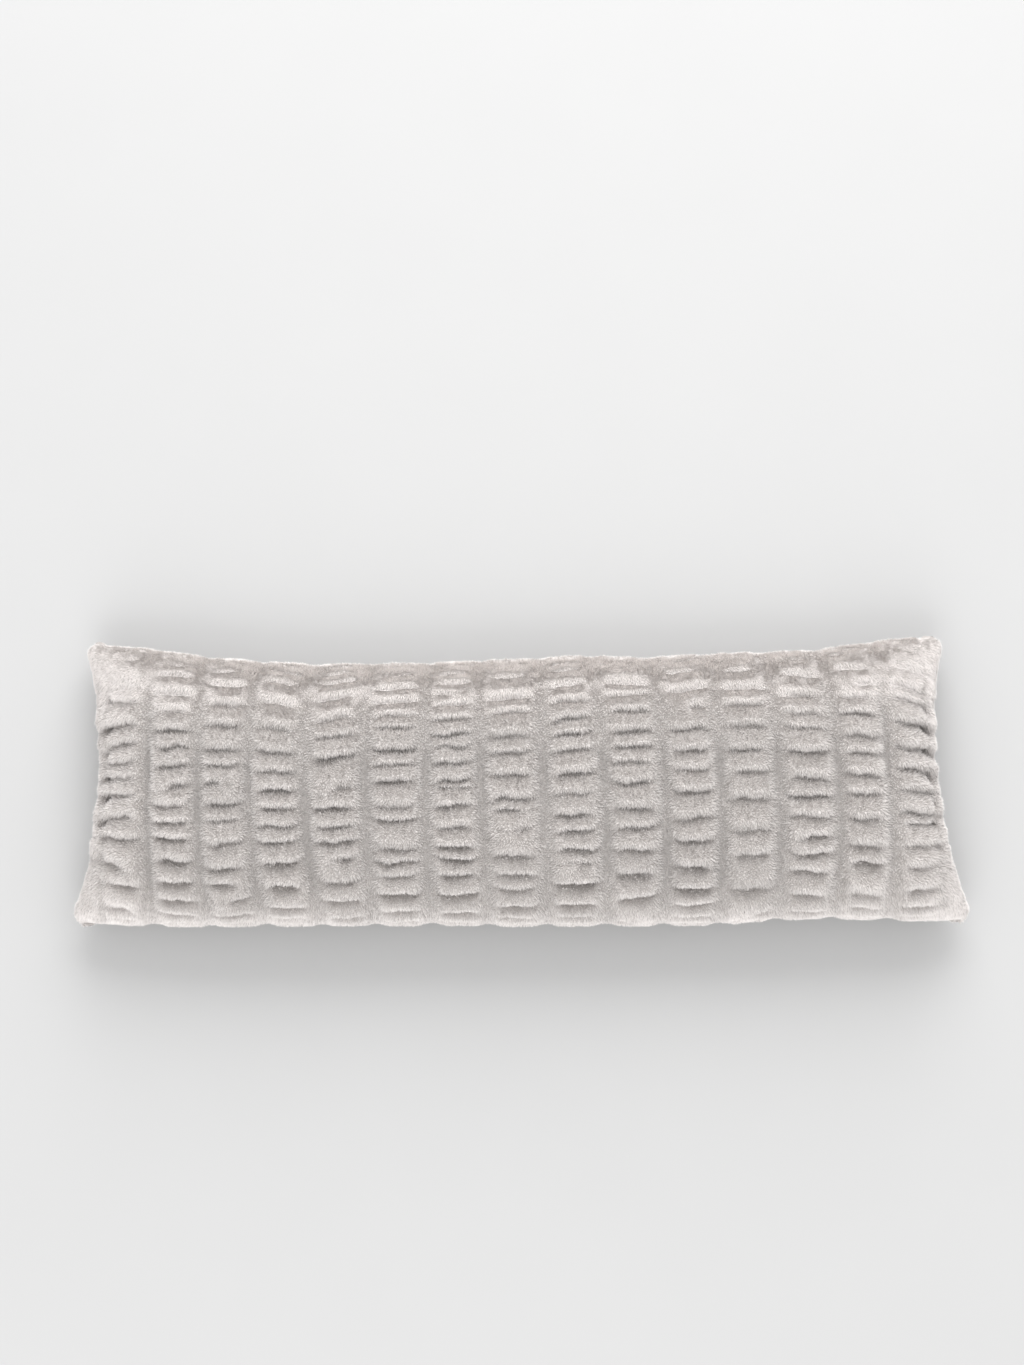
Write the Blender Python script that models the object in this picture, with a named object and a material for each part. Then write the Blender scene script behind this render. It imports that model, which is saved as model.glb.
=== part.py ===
"""Long body pillow with a ruched plush face, lying on its back.

Metres, +Z up. +X runs along the length and +Y towards the upper long edge of the face.
The origin is under the pillow's middle, where its back lies flat.

The pillow is one filled solid. Gathering lines run across its face from long edge to long
edge, and between each two of them the cloth stands up in a column of puffed welts. The
welts roll over both long edges. The back is plain and flattened where it rests.
"""

import math
import random
from typing import NamedTuple

import bmesh
import bpy
from mathutils import Vector

MM = 0.001

# Depths of the filled body.
SEAM_LEVEL = 52 * MM  # height of the side seams over the surface that the pillow lies on
CORNER_DROP = 16 * MM  # how far the seam comes down at the thin corners
RIM_BAND = 12 * MM  # rounded edge between the rim of the face and the rim of the back
FACE_CROWN = 76 * MM  # rise of the face over its rim, without the welts
END_ROUND = 150 * MM  # length over which the face rises from a short side
EDGE_ROUNDNESS = 2.6  # 2 is an ellipse across the pillow, more is a flatter face
EDGE_CROWDING = 0.25  # how far rows move out to the edges, so that they keep even on the turn
BACK_SWELL = 1.16  # over 1, the back swells past the surface and is pressed flat on it
CROWN_SAG = 0.06  # share by which the filling lies fuller towards the lower edge

# Relief of the ruching.
WELT_HEIGHT = 8 * MM
LINE_DEPTH = 6 * MM  # depth of a gathering line under the mean of the face
RIM_RELIEF = 0.55  # share of the relief left where a welt rolls over the edge
WELT_SKEW = 0.80  # under 1, a welt is fullest on its lower side
CREASE_WANDER = 0.20  # largest shift of a crease, in welts
WELT_FAN = 22 * MM  # how far welts turn towards the corners over a column at the ends
SEED = 5

# Facets.
FACETS_PER_COLUMN = 4
FACETS_PER_END = 3
FACE_ROWS = 48
BACK_FACETS = (32, 12)

PLUSH_COLOUR = (0.52, 0.49, 0.475, 1.0)
PLUSH_ROUGHNESS = 0.95


class Line(NamedTuple):
    """A line across the pillow, in mm: where it starts, passes the middle and ends."""

    top_x: float
    middle_x: float
    bottom_x: float
    top_y: float
    bottom_y: float


# The left seam, the sixteen gathering lines from left to right, and the right seam.
LINES = (
    Line(-614, -596, -633, 193, -203),
    Line(-588, -586, -591, 195, -205),
    Line(-521, -525, -514, 186, -206),
    Line(-447, -453, -439, 176, -207),
    Line(-372, -382, -361, 169, -206),
    Line(-294, -304, -280, 165, -207),
    Line(-216, -219, -206, 166, -206),
    Line(-135, -135, -126, 167, -206),
    Line(-60, -57, -45, 171, -206),
    Line(24, 30, 36, 174, -206),
    Line(97, 115, 118, 177, -205),
    Line(182, 199, 200, 176, -205),
    Line(264, 277, 277, 180, -204),
    Line(345, 358, 359, 184, -199),
    Line(420, 442, 437, 187, -196),
    Line(497, 515, 515, 196, -199),
    Line(566, 577, 595, 203, -201),
    Line(602, 587, 636, 198, -198),
)

# Welts in each column, from the left, rolled edge to rolled edge.
WELTS = (19, 17, 16, 16, 15, 16, 19, 16, 16, 15, 14, 14, 16, 15, 15)


def between(value_a, value_b, share):
    """Return the value that lies a share of the way from one to the other."""
    return value_a + (value_b - value_a) * share


def crowded(across):
    """Return where a place counted evenly over the crown lies in plan, both from -1 to 1.

    Places lie closer together in plan towards both edges, where the cloth turns down.
    """
    return across * (1 + EDGE_CROWDING - EDGE_CROWDING * across**4)


def line_point(line, across):
    """Return the plan position of a point on a line, from -1 at the bottom to 1 at the top."""
    lean = (line.top_x - line.bottom_x) / 2
    bow = (line.top_x + line.bottom_x) / 2 - line.middle_x
    plan = crowded(across)
    x = line.middle_x + lean * plan + bow * plan**2
    y = between(line.bottom_y, line.top_y, (plan + 1) / 2)
    return x * MM, y * MM


def plan_point(position, across):
    """Return the plan position at a place between two lines, counted from the left seam."""
    index = min(int(position), len(LINES) - 2)
    share = position - index
    x_left, y_left = line_point(LINES[index], across)
    x_right, y_right = line_point(LINES[index + 1], across)
    return between(x_left, x_right, share), between(y_left, y_right, share)


def fullness(position, across):
    """Return how full the pillow is at a place, from 0 at the seams to 1 in the middle."""
    x = plan_point(position, across)[0]
    left_x = line_point(LINES[0], across)[0]
    right_x = line_point(LINES[-1], across)[0]
    inset = min(1.0, max(0.0, min(x - left_x, right_x - x)) / END_ROUND)
    end_share = math.sqrt(1 - (1 - inset) ** 2)
    edge_share = math.sqrt(max(0.0, 1 - abs(crowded(across)) ** EDGE_ROUNDNESS))
    return end_share * edge_share


def seam_height(position, across):
    """Return the height of the seam level, which comes down towards the four corners."""
    along = 2 * position / (len(LINES) - 1) - 1
    return SEAM_LEVEL - CORNER_DROP * abs(along) ** 6 * across**4


def face_point(position, across):
    """Return a point on the crowned face, before it is gathered."""
    x, y = plan_point(position, across)
    crown = FACE_CROWN * (1 - CROWN_SAG * across)
    z = seam_height(position, across) + RIM_BAND / 2 + crown * fullness(position, across)
    return Vector((x, y, z))


def face_normal(position, across):
    """Return the outward direction of the crowned face at a place on it."""
    step = 0.02
    last = len(LINES) - 1
    left = max(0.0, position - step)
    right = min(last, position + step)
    low = max(-1.0, across - step)
    high = min(1.0, across + step)
    along = face_point(right, across) - face_point(left, across)
    up = face_point(position, high) - face_point(position, low)
    return along.cross(up).normalized()


def crease_rows(welts, rng):
    """Return the grid row and the place across the pillow of each crease in a column.

    The first and last creases lie on the rims, and the others wander a little.
    """
    creases = []
    for number in range(welts + 1):
        shift = rng.uniform(-CREASE_WANDER, CREASE_WANDER) if 0 < number < welts else 0
        row = round(number * FACE_ROWS / welts)
        creases.append((row, 2 * (number + shift) / welts - 1))
    return creases


def welt_height(share):
    """Return the height of a welt, from 0 to 1, at a share of the way up from its lower crease."""
    return math.sin(math.pi * share**WELT_SKEW) ** 0.75


def welt_at(creases, row):
    """Return the place across the pillow and the height of the welt on a grid row."""
    for (low_row, low), (high_row, high) in zip(creases, creases[1:]):
        if row <= high_row:
            share = (row - low_row) / (high_row - low_row)
            return between(low, high, share), welt_height(share)
    return 1.0, 0.0


def face_stations():
    """Return the column and the place between lines of each grid line along the face."""
    stations = [(None, step / FACETS_PER_END) for step in range(FACETS_PER_END)]
    for column in range(len(WELTS)):
        for step in range(FACETS_PER_COLUMN):
            stations.append((column, 1 + column + step / FACETS_PER_COLUMN))
    last = len(LINES) - 2
    stations += [(None, last + step / FACETS_PER_END) for step in range(FACETS_PER_END + 1)]
    return stations


def gathered_point(position, row, creases):
    """Return a point on the gathered face.

    creases is None in the strips outside the first and the last gathering line.
    """
    across = 2 * row / FACE_ROWS - 1
    pull = -LINE_DEPTH / 2
    if creases:
        share = position % 1
        puff = math.sin(math.pi * share) ** 0.6
        welt_across, height = welt_at(creases, row)
        along = 2 * position / (len(LINES) - 1) - 1
        half_width = (LINES[0].top_y - LINES[0].bottom_y) * MM / 2
        turn = WELT_FAN / half_width * along**3 * across * (1 - across**2)
        across = between(across, welt_across, puff) - turn * (share - 0.5)
        pull = between(-LINE_DEPTH, WELT_HEIGHT * height, puff)
    across = max(-1.0, min(1.0, across))
    relief = pull * between(1.0, RIM_RELIEF, across**6)
    return face_point(position, across) + face_normal(position, across) * relief


def shape_face(points, stations):
    """Move the points of a flat grid onto the gathered face."""
    rng = random.Random(SEED)
    columns = [crease_rows(welts, rng) for welts in WELTS]
    for index, point in enumerate(points):
        row, place = divmod(index, len(stations))
        column, position = stations[place]
        creases = None if column is None else columns[column]
        point.co = gathered_point(position, row, creases)


def shape_back(points, along_facets, across_facets):
    """Move the points of a flat grid onto the plain back, flat where it rests."""
    for index, point in enumerate(points):
        row, place = divmod(index, along_facets + 1)
        position = place / along_facets * (len(LINES) - 1)
        across = 2 * row / across_facets - 1
        swell = min(1.0, BACK_SWELL * fullness(position, across))
        rim = seam_height(position, across) - RIM_BAND / 2
        point.co = Vector((*plan_point(position, across), rim * (1 - swell)))


def sides_of(points, width):
    """Return the four sides of a grid, each as its run of points."""
    return (
        points[:width],
        points[-width:],
        points[::width],
        points[width - 1 :: width],
    )


def edges_along(mesh, points):
    """Return the edges that join a run of neighbouring points."""
    return [mesh.edges.get(pair) for pair in zip(points, points[1:])]


def build_solid():
    """Return the pillow as one closed bmesh, from its face, its back and the band between."""
    mesh = bmesh.new()
    stations = face_stations()
    face = bmesh.ops.create_grid(mesh, x_segments=len(stations) - 1, y_segments=FACE_ROWS)
    shape_face(face["verts"], stations)

    along_facets, across_facets = BACK_FACETS
    back = bmesh.ops.create_grid(mesh, x_segments=along_facets, y_segments=across_facets)
    shape_back(back["verts"], along_facets, across_facets)

    face_sides = sides_of(face["verts"], len(stations))
    back_sides = sides_of(back["verts"], along_facets + 1)
    for face_side, back_side in zip(face_sides, back_sides):
        rims = edges_along(mesh, face_side) + edges_along(mesh, back_side)
        bmesh.ops.bridge_loops(mesh, edges=rims)

    bmesh.ops.triangulate(mesh, faces=mesh.faces[:])
    bmesh.ops.recalc_face_normals(mesh, faces=mesh.faces[:])
    return mesh


def centre_on_origin(mesh):
    """Bring the middle of the pillow's plan over the origin, and its back down to it."""
    lows = Vector([min(point.co[axis] for point in mesh.verts) for axis in range(3)])
    highs = Vector([max(point.co[axis] for point in mesh.verts) for axis in range(3)])
    middle = (lows + highs) / 2
    bmesh.ops.translate(mesh, verts=mesh.verts[:], vec=(-middle.x, -middle.y, -lows.z))


def plush_material():
    """Return the warm grey plush of the cover."""
    material = bpy.data.materials.new("plush")
    material.use_nodes = True
    shader = material.node_tree.nodes["Principled BSDF"]
    shader.inputs["Base Color"].default_value = PLUSH_COLOUR
    shader.inputs["Roughness"].default_value = PLUSH_ROUGHNESS
    shader.inputs["Metallic"].default_value = 0.0
    return material


def add_pillow(collection):
    """Add the pillow to a collection."""
    solid = build_solid()
    centre_on_origin(solid)
    data = bpy.data.meshes.new("pillow")
    solid.to_mesh(data)
    solid.free()
    data.shade_smooth()
    data.materials.append(plush_material())
    collection.objects.link(bpy.data.objects.new("pillow", data))


def main():
    """Clear the scene and build the pillow in a collection of its own."""
    for item in list(bpy.data.objects):
        bpy.data.objects.remove(item, do_unlink=True)
    collection = bpy.data.collections.new("body_pillow")
    bpy.context.scene.collection.children.link(collection)
    add_pillow(collection)


main()
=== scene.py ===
"""A long body pillow in ruched plush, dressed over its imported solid.

The pillow lies on its back. Its face is gathered along sixteen lines that run from long edge
to long edge, and the cloth between two lines stands up in a column of puffed welts. Metres,
+X along the length, +Y towards the upper long edge of the face, +Z out of the face.
"""

import logging
import math
from dataclasses import dataclass, fields
from enum import Enum
from functools import partial
from typing import Mapping, NamedTuple, Optional, Sequence, Union

import bmesh
import bpy
import numpy as np
from mathutils import Matrix, Vector

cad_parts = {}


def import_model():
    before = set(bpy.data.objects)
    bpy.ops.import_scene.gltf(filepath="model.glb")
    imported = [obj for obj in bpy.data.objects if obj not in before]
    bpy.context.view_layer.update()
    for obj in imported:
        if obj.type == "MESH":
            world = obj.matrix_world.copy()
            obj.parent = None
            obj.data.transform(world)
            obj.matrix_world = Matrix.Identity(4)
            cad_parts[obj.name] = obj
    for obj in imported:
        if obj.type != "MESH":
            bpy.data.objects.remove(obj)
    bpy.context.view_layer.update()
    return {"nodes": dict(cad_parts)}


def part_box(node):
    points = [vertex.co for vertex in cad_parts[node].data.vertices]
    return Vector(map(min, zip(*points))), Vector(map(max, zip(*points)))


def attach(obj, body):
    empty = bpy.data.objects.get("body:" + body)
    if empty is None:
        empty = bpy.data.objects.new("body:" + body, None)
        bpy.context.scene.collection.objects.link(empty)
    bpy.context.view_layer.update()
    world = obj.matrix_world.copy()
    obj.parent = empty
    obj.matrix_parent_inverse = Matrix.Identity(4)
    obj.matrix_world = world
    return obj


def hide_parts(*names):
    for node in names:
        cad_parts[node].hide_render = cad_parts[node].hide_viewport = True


log = logging.getLogger("body_pillow")

MM = 0.001
NODE = "pillow"
BODY = "root"

Points = Sequence[bmesh.types.BMVert]
NodeValue = Union[bpy.types.NodeSocket, bpy.types.Node, bpy.types.ID, float, str, tuple]


class Line(NamedTuple):
    """A line across the pillow, in mm: where it starts, passes the middle and ends."""

    top_x: float
    middle_x: float
    bottom_x: float
    top_y: float
    bottom_y: float


# The left seam, the sixteen gathering lines from left to right, and the right seam.
LINES = (
    Line(-633, -598, -641, 199, -204),
    Line(-588, -586, -591, 195, -205),
    Line(-521, -525, -514, 186, -206),
    Line(-447, -453, -439, 176, -207),
    Line(-372, -382, -361, 169, -206),
    Line(-294, -304, -280, 165, -207),
    Line(-216, -219, -206, 166, -206),
    Line(-135, -135, -126, 167, -206),
    Line(-60, -57, -45, 171, -206),
    Line(24, 30, 36, 174, -206),
    Line(97, 115, 118, 177, -205),
    Line(182, 199, 200, 176, -205),
    Line(264, 277, 277, 180, -204),
    Line(345, 358, 359, 184, -199),
    Line(420, 442, 437, 187, -196),
    Line(497, 515, 515, 198, -199),
    Line(566, 577, 595, 208, -201),
    Line(613, 589, 643, 208, -199),
)
LAST = len(LINES) - 1

# Millimetres from one gathering line to the next and along one turn, for patterns on the cloth.
LINE_PITCH = 80
TURN_LENGTH = 230

# Rows of the photograph, in pixels down, between which the face shows.
FACE_TOP_ROW = 658
FACE_BOTTOM_ROW = 918

# The creases in each column, from the left, as rows of the photograph.
CREASE_ROWS = (
    (658, 671, 697, 712, 733, 750, 767, 782, 797, 818, 838, 861, 880, 902),
    (658, 670, 681, 698, 715, 733, 749, 767, 786, 804, 820, 834, 857, 875, 893, 907),
    (662, 672, 685, 704, 725, 748, 762, 780, 800, 816, 837, 862, 876, 891, 907),
    (668, 679, 699, 725, 748, 767, 785, 803, 820, 835, 855, 879, 898, 910),
    (668, 678, 692, 714, 732, 752, 783, 801, 820, 835, 850, 874, 893, 908),
    (673, 684, 697, 711, 723, 745, 760, 776, 800, 813, 842, 855, 868, 886, 903),
    (663, 672, 681, 691, 703, 717, 731, 743, 759, 776, 783, 800, 823, 840, 852, 868, 886, 905),
    (664, 677, 697, 712, 734, 750, 773, 795, 807, 825, 849, 867, 880, 898, 910),
    (665, 672, 687, 703, 720, 734, 750, 773, 791, 811, 826, 845, 858, 878, 897),
    (665, 686, 697, 713, 732, 747, 762, 781, 805, 824, 845, 870, 892, 915),
    (663, 675, 692, 710, 732, 750, 770, 790, 815, 837, 862, 883, 898),
    (660, 676, 694, 709, 730, 754, 773, 800, 830, 851, 887, 909),
    (654, 667, 683, 705, 720, 735, 757, 783, 801, 819, 838, 854, 871, 893, 910),
    (650, 667, 681, 695, 709, 725, 745, 763, 782, 800, 823, 848, 865, 893),
    (650, 668, 688, 706, 718, 739, 762, 781, 800, 818, 829, 849, 867, 889),
)
COLUMNS = len(CREASE_ROWS)

# How far the creases of each column rise to the right, in the same pixels, at these rows.
SLANT_ROWS = (690, 775, 860)
SLANTS = (
    (10, 7, -8),
    (2, 7, -2),
    (1, 4, 3),
    (-7, 0, 1),
    (9, 6, 1),
    (3, 2, 1),
    (1, 2, 0),
    (3, 2, 0),
    (5, 3, -2),
    (2, 3, 3),
    (4, 1, 1),
    (-1, -3, 0),
    (-4, -7, -2),
    (-7, -6, -3),
    (-17, -9, 4),
)


class End(Enum):
    """The two short sides of the pillow, each with the line that its welts end at."""

    LEFT = 1
    RIGHT = LAST - 1


# The dimples beside each side seam, as rows of the photograph.
DIMPLE_ROWS = {
    End.LEFT: (672, 690, 710, 740, 762, 784, 804, 825, 852, 880),
    End.RIGHT: (668, 686, 706, 729, 746, 765, 790, 812, 830, 852, 878),
}


def add_node(
    tree: bpy.types.NodeTree,
    kind: str,
    inputs: Optional[Mapping[Union[str, int], NodeValue]] = None,
    **settings: object,
) -> bpy.types.Node:
    """Add a node to a tree.

    Args:
        tree: The tree that gets the node.
        kind: The node's Blender type name.
        inputs: What goes into each input, by name or index. A socket or a node's first output
            is linked, and a value is set.
        settings: The node's own properties.

    Returns:
        The new node.
    """
    node = tree.nodes.new(kind)
    for name, value in settings.items():
        setattr(node, name, value)
    for key, value in (inputs or {}).items():
        if isinstance(value, bpy.types.Node):
            value = value.outputs[0]
        if isinstance(value, bpy.types.NodeSocket):
            tree.links.new(value, node.inputs[key])
        else:
            node.inputs[key].default_value = value
    return node


def linear(hex_colour: str) -> tuple[float, float, float, float]:
    """Turn an sRGB colour linear.

    Args:
        hex_colour: The colour as a hex value such as "#c8c2be".

    Returns:
        Its linear red, green, blue and alpha.
    """
    channels = []
    for start in (1, 3, 5):
        value = int(hex_colour[start : start + 2], 16) / 255
        channels.append(value / 12.92 if value <= 0.04045 else ((value + 0.055) / 1.055) ** 2.4)
    return (*channels, 1.0)


def smooth_step(low: float, high: float, value: np.ndarray) -> np.ndarray:
    """Return 0 below low, 1 above high and a smooth rise between, for each value."""
    share = np.clip((value - low) / (high - low), 0, 1)
    return share * share * (3 - 2 * share)


def wander(places: Sequence[np.ndarray], sizes: Sequence[float], seed: int) -> np.ndarray:
    """Return smooth random heights between -1 and 1.

    Args:
        places: The two coordinates to work it out for, arrays of one shape.
        sizes: How far apart the heights change, along each coordinate.
        seed: The pattern's seed.

    Returns:
        One height for each place.
    """
    rows, columns = 97, 89
    far_from_zero = 1000.5
    lattice = np.random.default_rng(seed).uniform(-1, 1, (rows, columns))
    counts, shares = [], []
    for place, size in zip(places, sizes):
        scaled = place / size + far_from_zero
        counts.append(np.floor(scaled).astype(int))
        step = scaled - counts[-1]
        shares.append(step * step * (3 - 2 * step))
    (row, column), (down, along) = counts, shares
    steps = [(0, 0), (0, 1), (1, 0), (1, 1)]
    corners = [lattice[(row + i) % rows, (column + j) % columns] for i, j in steps]
    left = corners[0] + (corners[2] - corners[0]) * down
    right = corners[1] + (corners[3] - corners[1]) * down
    return left + (right - left) * along


def bridge(mesh: bmesh.types.BMesh, first: Points, second: Points) -> None:
    """Join two runs of neighbouring points with faces."""
    edges = [mesh.edges.get(pair) for run in (first, second) for pair in zip(run, run[1:])]
    bmesh.ops.bridge_loops(mesh, edges=edges)


def add_object(name: str, data: bpy.types.ID) -> bpy.types.Object:
    """Add an object to the scene.

    Args:
        name: Its name.
        data: Its mesh, camera or lamp.

    Returns:
        The object.
    """
    item = bpy.data.objects.new(name, data)
    bpy.context.scene.collection.objects.link(item)
    return item


def add_mesh(shape: bmesh.types.BMesh, name: str) -> bpy.types.Object:
    """Turn a bmesh into a smooth mesh object in the scene, and free it.

    Args:
        shape: The bmesh.
        name: The name of the object and its mesh.

    Returns:
        The object.
    """
    data = bpy.data.meshes.new(name)
    shape.to_mesh(data)
    shape.free()
    data.shade_smooth()
    return add_object(name, data)


@dataclass(frozen=True)
class Crown:
    """The filled body before it is gathered, as a surface over two counts.

    position counts the lines from the left seam, 0, to the right seam. turn counts the way
    round the pillow: -1 to 1 is the face from the lower to the upper edge, and past that it runs
    under the edges to the middle of the back at -2 and 2.

    seam_level is the height of the side seams and corner_drop how far they come down at the thin
    corners. rim_band is the rounded edge between face and back, and band_turn its turn. end_round
    is the length over which the face rises from a short side. An edge_roundness of 2 is an
    ellipse, and more is a flatter face. edge_crowding keeps rows even where the cloth turns down.
    A back_swell over 1 is pressed flat on the floor. crown_sag fills the lower edge. view_tilt
    is the lean, in degrees, at which the rows of the photograph are read.
    """

    seam_level: float = 52 * MM
    corner_drop: float = 16 * MM
    corner_round: float = 22 * MM
    rim_band: float = 14 * MM
    band_turn: float = 0.06
    face_crown: float = 76 * MM
    end_round: float = 150 * MM
    edge_roundness: float = 2.6
    edge_crowding: float = 0.25
    back_swell: float = 1.16
    crown_sag: float = 0.06
    view_tilt: float = 7.0

    def spread(self, across: np.ndarray) -> np.ndarray:
        """Return where places counted evenly over the crown lie in plan, both -1 to 1."""
        return across * (1 + self.edge_crowding - self.edge_crowding * across**4)

    def across(self, turn: np.ndarray) -> np.ndarray:
        """Return the place across the face under or over which each turn lies, -1 to 1."""
        under = np.clip((np.abs(turn) - 1 - self.band_turn) / (1 - self.band_turn), 0, 1)
        return np.where(np.abs(turn) <= 1, turn, np.sign(turn) * (1 - under))

    def plan(self, position: np.ndarray, across: np.ndarray) -> tuple[np.ndarray, np.ndarray]:
        """Return the plan position of places on the body.

        Args:
            position: Places along the pillow, counted in lines.
            across: Places across it, from -1 to 1.

        Returns:
            Their x and y.
        """
        table = np.array(LINES) * MM
        index = np.clip(position.astype(int), 0, LAST - 1)
        share = position - index
        plan = self.spread(across)
        sides = []
        for line in (table[index], table[index + 1]):
            top_x, middle_x, bottom_x, top_y, bottom_y = np.moveaxis(line, -1, 0)
            lean = (top_x - bottom_x) / 2
            bow = (top_x + bottom_x) / 2 - middle_x
            x = middle_x + lean * plan + bow * plan**2
            sides.append((x, bottom_y + (top_y - bottom_y) * (plan + 1) / 2))
        (x_left, y_left), (x_right, y_right) = sides
        half_width = (table[0, 3] - table[0, 4]) / 2
        to_edge = np.minimum((1 - np.abs(plan)) * half_width / self.corner_round, 1)
        cut = self.corner_round * (1 - np.sqrt(1 - (1 - to_edge) ** 2))
        x_left = x_left + np.where(index == 0, cut, 0)
        x_right = x_right - np.where(index == LAST - 1, cut, 0)
        return x_left + (x_right - x_left) * share, y_left + (y_right - y_left) * share

    def fullness(self, position: np.ndarray, across: np.ndarray) -> np.ndarray:
        """Work out how full the body is.

        Args:
            position: Places along the pillow, counted in lines.
            across: Places across it, from -1 to 1.

        Returns:
            The fullness at each place, 0 at the seams to 1 in the middle.
        """
        x = self.plan(position, across)[0]
        left_x = self.plan(np.zeros_like(position), across)[0]
        right_x = self.plan(np.full_like(position, LAST), across)[0]
        inset = np.clip(np.minimum(x - left_x, right_x - x) / self.end_round, 0, 1)
        plan = self.spread(across)
        edge = np.sqrt(np.clip(1 - np.abs(plan) ** self.edge_roundness, 0, None))
        return np.sqrt(1 - (1 - inset) ** 2) * edge

    def point(self, position: np.ndarray, turn: np.ndarray) -> np.ndarray:
        """Place points on the body.

        Args:
            position: Places along the pillow, counted in lines.
            turn: The way round it, for each of them.

        Returns:
            The points, with x, y and z along the last axis.
        """
        across = self.across(turn)
        x, y = self.plan(position, across)
        full = self.fullness(position, across)
        along = 2 * position / LAST - 1
        seam = self.seam_level - self.corner_drop * np.abs(along) ** 6 * across**4
        face = seam + self.rim_band / 2 + self.face_crown * (1 - self.crown_sag * across) * full
        back = (seam - self.rim_band / 2) * (1 - np.minimum(1, self.back_swell * full))
        down = np.clip((np.abs(turn) - 1) / self.band_turn, 0, 1)
        z = np.where(down < 1, face * (1 - down) + back * down, back)
        return np.stack((x, y, z), axis=-1)

    def normal(self, position: np.ndarray, turn: np.ndarray) -> np.ndarray:
        """Work out which way the body faces.

        Args:
            position: Places along the pillow, counted in lines.
            turn: The way round it, for each of them.

        Returns:
            The outward direction at each, of length 1.
        """
        step = 0.02
        left = np.clip(position - step, 0, LAST)
        right = np.clip(position + step, 0, LAST)
        along = self.point(right, turn) - self.point(left, turn)
        up = self.point(position, turn + step) - self.point(position, turn - step)
        normal = np.cross(along, up)
        return normal / np.maximum(np.linalg.norm(normal, axis=-1, keepdims=True), 1e-12)

    def turn_at(self, position: float, rows: Sequence[float]) -> np.ndarray:
        """Find the turns that show at rows of the photograph.

        Args:
            position: The place along the pillow, counted in lines.
            rows: The rows, in pixels down.

        Returns:
            One turn for each row.
        """
        edge, count = 0.97, 400
        turns = np.linspace(-edge, edge, count)
        points = self.point(np.full_like(turns, position), turns)
        view = math.radians(self.view_tilt)
        seen = points[:, 1] * math.cos(view) + points[:, 2] * math.sin(view)
        shares = (FACE_BOTTOM_ROW - np.array(rows, float)) / (FACE_BOTTOM_ROW - FACE_TOP_ROW)
        return np.interp(seen[0] + shares * (seen[-1] - seen[0]), seen, turns)


@dataclass(frozen=True)
class Column:
    """The welts between two gathering lines, told by the creases between them.

    left and right are the turns of the creases at the two lines, from the lower edge up. starts
    and ends are where each begins and runs out, in shares of the way across, and depths how
    deep it is, 0 to 1. sizes are how full the welt over each crease is, near 1. welt_lean is
    where between its creases a welt is highest. A crease sways and frays by these turns, over
    these shares of its length, and fades over the taper at its ends. A welt is smaller where its
    creases lie closer than usual_gap.
    """

    left: np.ndarray
    right: np.ndarray
    starts: np.ndarray
    ends: np.ndarray
    depths: np.ndarray
    sizes: np.ndarray
    welt_lean: float
    seed: int
    crease_sway: float = 0.010
    crease_fray: float = 0.005
    depth_fray: float = 0.12
    taper: float = 0.3
    usual_gap: float = 0.12
    size_range: tuple = (0.35, 1.15)
    sway_length: float = 0.25
    fray_length: float = 0.08

    def welts(self, share: float, turn: np.ndarray) -> np.ndarray:
        """Work out how high the welts stand, 0 in a crease to 1 on a crest.

        Args:
            share: The place across the column, from its left line to its right one.
            turn: The turns to work it out for, rising.

        Returns:
            One height for each turn.
        """
        count = len(self.left)
        apart = 1.7
        places = (np.full(count, share), np.arange(count) * apart)
        sway = wander(places, (self.sway_length, 1), self.seed)
        fray = wander(places, (self.fray_length, 1), self.seed + 20)
        path = self.left + (self.right - self.left) * share
        path = path + self.crease_sway * sway + self.crease_fray * fray
        path = np.maximum.accumulate(path)
        begun = smooth_step(0, self.taper, share - self.starts)
        tapered = begun * smooth_step(0, self.taper, self.ends - share)
        reach = tapered * self.depths * (1 - self.depth_fray + self.depth_fray * fray)
        index = np.clip(np.searchsorted(path, turn) - 1, 0, count - 2)
        gap = np.maximum(path[index + 1] - path[index], 1e-4)
        rise = np.clip((turn - path[index]) / gap, 0, 1)
        lower = np.clip(rise / self.welt_lean, 0, 1)
        upper = np.clip((1 - rise) / (1 - self.welt_lean), 0, 1)
        round_low = (np.sin(math.pi / 2 * lower) + lower) / 2
        round_high = (np.sin(math.pi / 2 * upper) + upper) / 2
        puff_low = 1 - reach[index] * (1 - round_low)
        puff_high = 1 - reach[index + 1] * (1 - round_high)
        size = np.clip(gap / self.usual_gap, *self.size_range) ** 0.4 * self.sizes[index]
        return np.minimum(puff_low, puff_high) * size


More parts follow.
